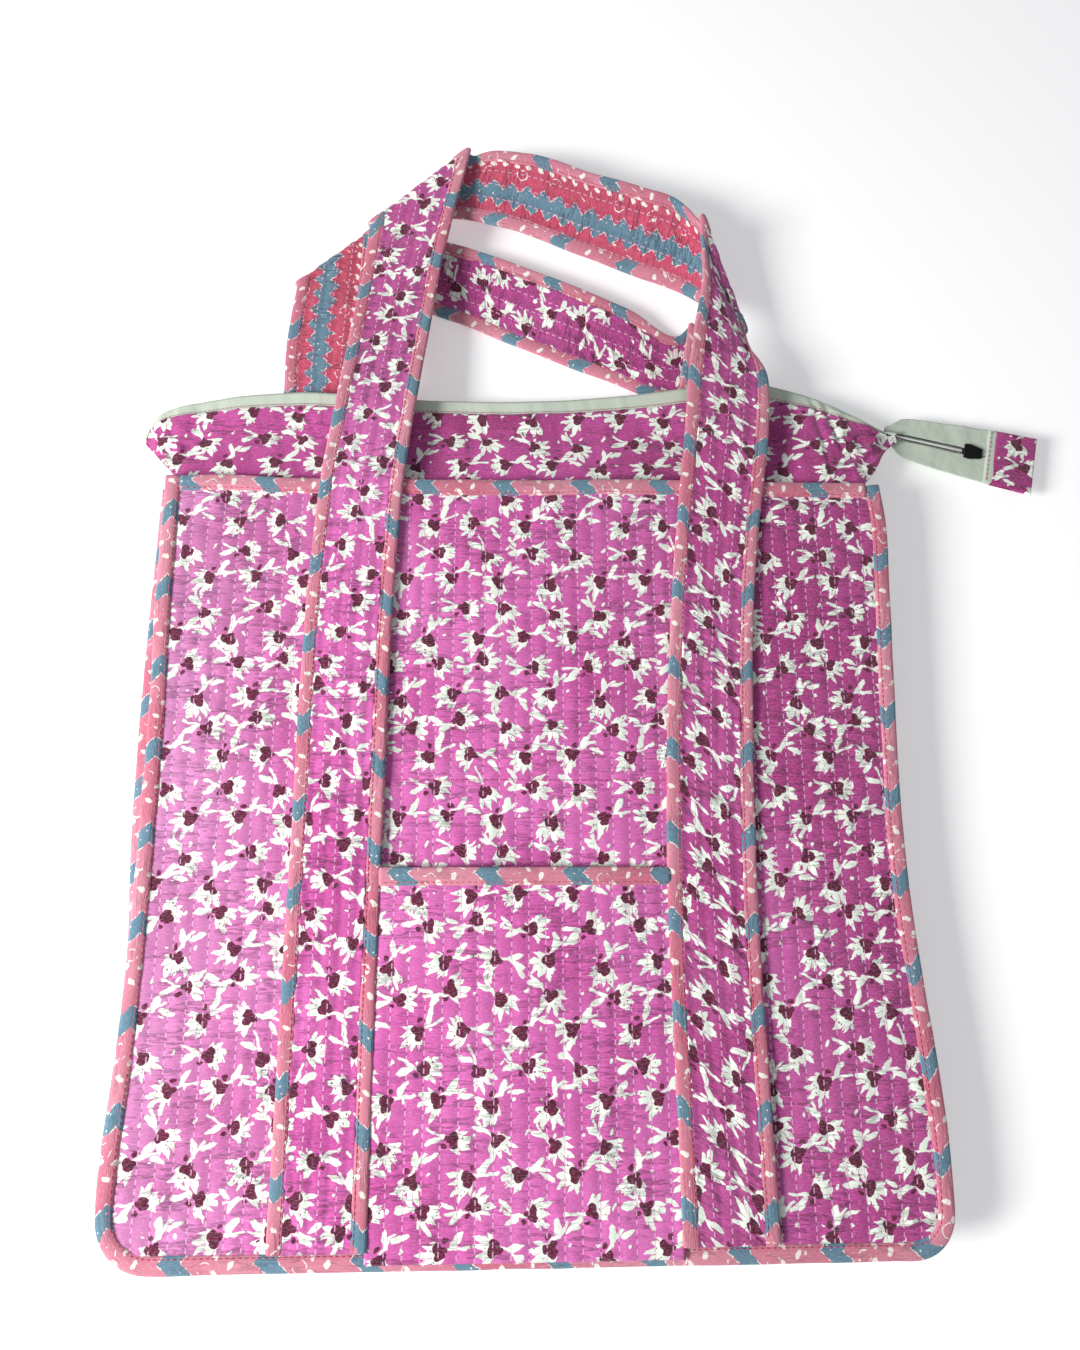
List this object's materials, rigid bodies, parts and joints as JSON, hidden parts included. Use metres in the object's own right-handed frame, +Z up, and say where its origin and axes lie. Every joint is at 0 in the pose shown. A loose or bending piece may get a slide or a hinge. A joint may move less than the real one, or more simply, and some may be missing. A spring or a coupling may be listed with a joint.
{
  "type": "knitting bag",
  "caption": "Flat quilted cotton tote with two folded strap handles, slip pocket, bound edges and an open zip closure with a tail.",
  "frame": {"origin": "underside of the back edge binding, middle of the bag's bottom edge, with the bag lying flat on its back", "axes": "+X across the bag towards the zip tail, +Y from the bottom edge to the handles, +Z up out of the front panel"},
  "size_m": [0.5838, 0.6933, 0.0394],
  "materials": {
    "print_cotton": "quilted printed cotton",
    "trim_cotton": "folded cotton binding",
    "lining_cotton": "quilted printed cotton lining",
    "zip_tape": "woven twill tape",
    "zip_coil": "nylon coil",
    "slider_metal": "black painted zinc"
  },
  "bodies": {
    "back_half": {"back_edge_binding": "trim_cotton", "back_lining": "lining_cotton", "back_mouth_binding": "trim_cotton", "back_panel": "print_cotton", "back_strap_left_binding_inner": "trim_cotton", "back_strap_left_binding_outer": "trim_cotton", "back_strap_left_web": "print_cotton", "back_strap_right_binding_inner": "trim_cotton", "back_strap_right_binding_outer": "trim_cotton", "back_strap_right_web": "print_cotton", "closure_back_strip": "print_cotton", "gusset_strip": "print_cotton", "zip_coil_back": "zip_coil", "zip_tape_back": "zip_tape"},
    "front_half": {"front_edge_binding": "trim_cotton", "front_lining": "lining_cotton", "front_mouth_binding": "trim_cotton", "front_panel": "print_cotton", "front_strap_left_binding_inner": "trim_cotton", "front_strap_left_binding_outer": "trim_cotton", "front_strap_left_web": "print_cotton", "front_strap_right_binding_inner": "trim_cotton", "front_strap_right_binding_outer": "trim_cotton", "front_strap_right_web": "print_cotton", "slip_pocket": "print_cotton", "slip_pocket_binding": "trim_cotton", "closure_front_strip": "print_cotton", "zip_tape_front": "zip_tape", "zip_coil_front": "zip_coil"},
    "front_handle": {"front_handle_binding_inner": "trim_cotton", "front_handle_binding_outer": "trim_cotton", "front_handle_web": "print_cotton"},
    "back_handle": {"back_handle_binding_inner": "trim_cotton", "back_handle_binding_outer": "trim_cotton", "back_handle_web": "print_cotton"},
    "zip_tail": {"tail_tape_front": "zip_tape", "tail_tape_back": "zip_tape", "tail_coil_front": "zip_coil", "tail_coil_back": "zip_coil", "tail_stitched_fold": "zip_tape", "tail_end_tab": "print_cotton"},
    "zip_slider": {"slider_body": "slider_metal"},
    "zip_pull": {"slider_pull": "slider_metal"}
  },
  "joints": [
    {"name": "mouth_open", "type": "hinge", "parent": "back_half", "child": "front_half", "pos_m": [0, -0.0053, 0.0215], "axis": [1, 0, 0], "range_deg": [0, 6]},
    {"name": "front_handle_swing", "type": "hinge", "parent": "front_half", "child": "front_handle", "pos_m": [0, 0.4397, 0.0328], "axis": [1, 0, 0], "range_deg": [0, 165]},
    {"name": "back_handle_swing", "type": "hinge", "parent": "back_half", "child": "back_handle", "pos_m": [0, 0.4397, -0.0003], "axis": [-1, 0, 0], "range_deg": [0, 165]},
    {"name": "zip_tail_lift", "type": "hinge", "parent": "back_half", "child": "zip_tail", "pos_m": [0.24, 0.4832, 0.0088], "axis": [-0.2215, -0.9751, 0], "range_deg": [0, 80]},
    {"name": "slider_run", "type": "slide", "parent": "zip_tail", "child": "zip_slider", "axis": [-0.9751, 0.2215, 0], "range_m": [0, 0.034]},
    {"name": "pull_swing", "type": "hinge", "parent": "zip_slider", "child": "zip_pull", "pos_m": [0.29315, 0.47113, 0.0046], "axis": [0.2215, 0.9751, 0], "range_deg": [0, 170]}
  ]
}
